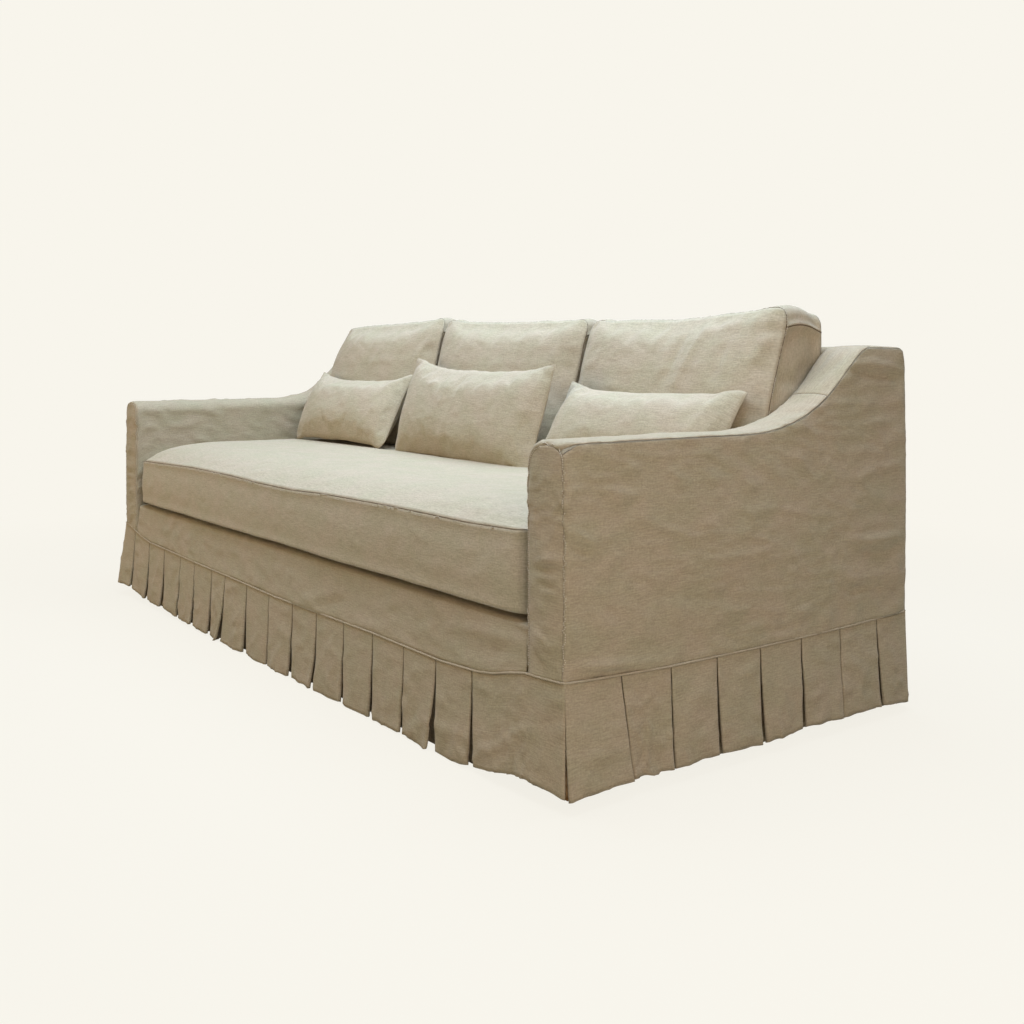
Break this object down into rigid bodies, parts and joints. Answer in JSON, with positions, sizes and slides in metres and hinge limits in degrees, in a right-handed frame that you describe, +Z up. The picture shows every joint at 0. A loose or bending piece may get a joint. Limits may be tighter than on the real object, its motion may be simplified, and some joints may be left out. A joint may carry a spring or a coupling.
{
  "type": "slipcovered sofa",
  "caption": "Long sofa with scooped slope arms, a straight back, one bench seat cushion, loose back cushions, lumbar pillows and a pleated skirt.",
  "frame": {"origin": "on the floor, under the middle of the sofa's box", "axes": "+X to the right as one faces the sofa, +Y to its back, +Z up"},
  "size_m": [2.422, 1.042, 0.9168],
  "materials": {
    "linen_slipcover": "slubby natural linen, plain weave",
    "linen_cushion": "slubby natural linen, plain weave",
    "wadding": "soft white polyester wadding",
    "cushion_filling": "foam core in a feather and down wrap",
    "dust_cover_cloth": "thin black spun cloth",
    "frame_hardwood": "planed, unfinished hardwood",
    "spring_steel": "bare spring steel wire",
    "zip_plastic": "coil zip, closed"
  },
  "bodies": {
    "sofa": {"front_rail": "frame_hardwood", "seat_back_rail": "frame_hardwood", "back_bottom_rail": "frame_hardwood", "back_top_rail": "frame_hardwood", "side_rail_left": "frame_hardwood", "side_rail_right": "frame_hardwood", "arm_post_left": "frame_hardwood", "arm_post_right": "frame_hardwood", "arm_rail_left": "frame_hardwood", "arm_rail_right": "frame_hardwood", "back_post_left": "frame_hardwood", "back_post_right": "frame_hardwood", "back_upright_left": "frame_hardwood", "back_upright_right": "frame_hardwood", "seat_cross_rail_left": "frame_hardwood", "seat_cross_rail_right": "frame_hardwood", "corner_block_front_left": "frame_hardwood", "corner_block_front_right": "frame_hardwood", "corner_block_back_left": "frame_hardwood", "corner_block_back_right": "frame_hardwood", "leg_front_left": "frame_hardwood", "leg_front_middle": "frame_hardwood", "leg_front_right": "frame_hardwood", "leg_back_left": "frame_hardwood", "leg_back_middle": "frame_hardwood", "leg_back_right": "frame_hardwood", "seat_spring_unit": "spring_steel", "deck_pad": "wadding", "back_pad": "wadding", "arm_pad_left": "wadding", "arm_pad_right": "wadding", "dust_cover": "dust_cover_cloth", "platform_cover": "linen_slipcover", "back_cover": "linen_slipcover", "arm_cover_left": "linen_slipcover", "arm_cover_right": "linen_slipcover", "skirt_front": "linen_slipcover", "skirt_back": "linen_slipcover", "skirt_left": "linen_slipcover", "skirt_right": "linen_slipcover"},
    "seat_cushion": {"seat_cushion_cover": "linen_cushion", "seat_cushion_insert": "cushion_filling", "seat_cushion_zip": "zip_plastic"},
    "back_cushion_left": {"back_cushion_left_cover": "linen_cushion", "back_cushion_left_insert": "cushion_filling", "back_cushion_left_zip": "zip_plastic"},
    "back_cushion_centre": {"back_cushion_centre_cover": "linen_cushion", "back_cushion_centre_insert": "cushion_filling", "back_cushion_centre_zip": "zip_plastic"},
    "back_cushion_right": {"back_cushion_right_cover": "linen_cushion", "back_cushion_right_insert": "cushion_filling", "back_cushion_right_zip": "zip_plastic"},
    "pillow_left": {"pillow_left_cover": "linen_cushion", "pillow_left_insert": "cushion_filling"},
    "pillow_centre": {"pillow_centre_cover": "linen_cushion", "pillow_centre_insert": "cushion_filling"},
    "pillow_right": {"pillow_right_cover": "linen_cushion", "pillow_right_insert": "cushion_filling"}
  },
  "joints": [
    {"name": "seat_cushion_lift", "type": "slide", "parent": "sofa", "child": "seat_cushion", "axis": [0, 0, 1], "range_m": [0, 0.55]},
    {"name": "back_cushion_left_lift", "type": "slide", "parent": "seat_cushion", "child": "back_cushion_left", "axis": [0, 0, 1], "range_m": [0, 0.45]},
    {"name": "back_cushion_centre_lift", "type": "slide", "parent": "seat_cushion", "child": "back_cushion_centre", "axis": [0, 0, 1], "range_m": [0, 0.45]},
    {"name": "back_cushion_right_lift", "type": "slide", "parent": "seat_cushion", "child": "back_cushion_right", "axis": [0, 0, 1], "range_m": [0, 0.45]},
    {"name": "pillow_left_lift", "type": "slide", "parent": "back_cushion_left", "child": "pillow_left", "axis": [0, -0.5, 0.866], "range_m": [0, 0.45]},
    {"name": "pillow_centre_lift", "type": "slide", "parent": "back_cushion_centre", "child": "pillow_centre", "axis": [0, -0.5, 0.866], "range_m": [0, 0.45]},
    {"name": "pillow_right_lift", "type": "slide", "parent": "back_cushion_right", "child": "pillow_right", "axis": [0, -0.5, 0.866], "range_m": [0, 0.45]}
  ]
}
